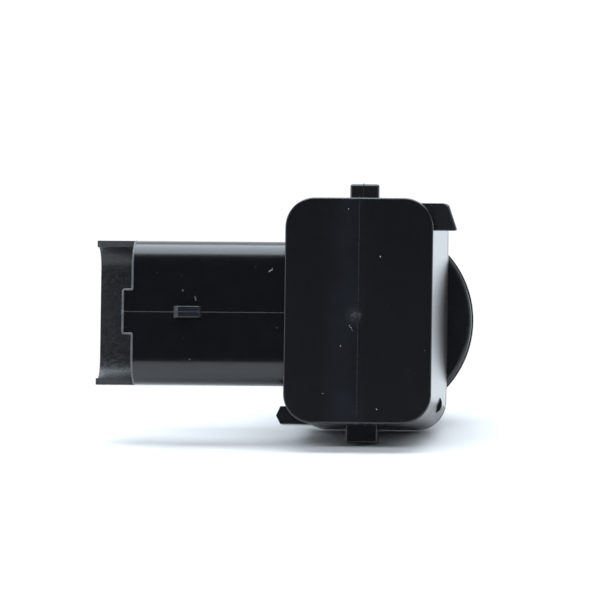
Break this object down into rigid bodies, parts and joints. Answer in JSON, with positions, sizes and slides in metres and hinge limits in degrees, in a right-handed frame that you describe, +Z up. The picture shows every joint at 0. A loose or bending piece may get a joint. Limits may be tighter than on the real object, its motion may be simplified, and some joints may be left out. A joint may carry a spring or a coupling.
{
  "type": "ultrasonic proximity sensor",
  "caption": "Black vehicle bumper proximity sensor: moulded case with side connector socket, snap lugs and a round flanged ultrasonic membrane head.",
  "frame": {"origin": "on the transducer's axis, in the front face of the round flange, where the bracket's ring seats", "axes": "+Y is the way the membrane faces, +Z is up with the top lug uppermost, and the connector socket points along -X"},
  "size_m": [0.0407, 0.0233, 0.0287],
  "materials": {
    "case_plastic": "injection-moulded black glass-filled polyester, fine satin texture",
    "carrier_plastic": "injection-moulded black polyester, satin",
    "insert_plastic": "black moulded insert plastic",
    "tinned_contact": "tin-plated copper alloy, drawn",
    "painted_membrane": "black anodised and primed aluminium",
    "silicone_black": "soft black silicone, matte",
    "silicone_grey": "soft grey silicone, matte",
    "piezo_ceramic": "silvered piezo ceramic, matte",
    "damping_felt": "grey pressed felt",
    "backing_foam": "light silicone foam, closed cell",
    "base_plastic": "dark moulded plastic",
    "signal_wire": "red enamelled fine wire",
    "ground_wire": "black enamelled fine wire",
    "board_laminate": "green solder mask on glass-fibre laminate",
    "chip_epoxy": "black moulded epoxy, matte",
    "ferrite": "sintered dark grey ferrite",
    "copper_winding": "enamelled copper wire, closely wound",
    "capacitor_can": "drawn aluminium can",
    "resistor_body": "black glazed chip",
    "capacitor_body": "tan ceramic chip",
    "solder": "bright solder",
    "potting_resin": "dark polyurethane casting resin"
  },
  "bodies": {
    "sensor": {"rear_housing": "case_plastic", "pin_carrier": "insert_plastic", "supply_pin": "tinned_contact", "signal_pin": "tinned_contact", "ground_pin": "tinned_contact", "front_carrier": "carrier_plastic", "membrane_cup": "painted_membrane", "cup_isolator": "silicone_grey", "piezo_disc": "piezo_ceramic", "damping_felt": "damping_felt", "backing_foam": "backing_foam", "transducer_base": "base_plastic", "lead_wire_signal": "signal_wire", "lead_wire_ground": "ground_wire", "circuit_board": "board_laminate", "signal_chip": "chip_epoxy", "chip_leads": "tinned_contact", "transformer_base": "insert_plastic", "transformer_core": "ferrite", "transformer_winding": "copper_winding", "transformer_shield": "ferrite", "storage_capacitor": "capacitor_can", "protection_diode": "chip_epoxy", "chip_resistors": "resistor_body", "chip_capacitors": "capacitor_body", "pin_solder_joints": "solder", "wire_solder_joints": "solder", "potting_compound": "potting_resin"},
    "ring": {"decoupling_ring": "silicone_black"}
  },
  "joints": [
    {"name": "ring_pull", "type": "slide", "parent": "sensor", "child": "ring", "axis": [0, 1, 0], "range_m": [0, 0.012]}
  ]
}
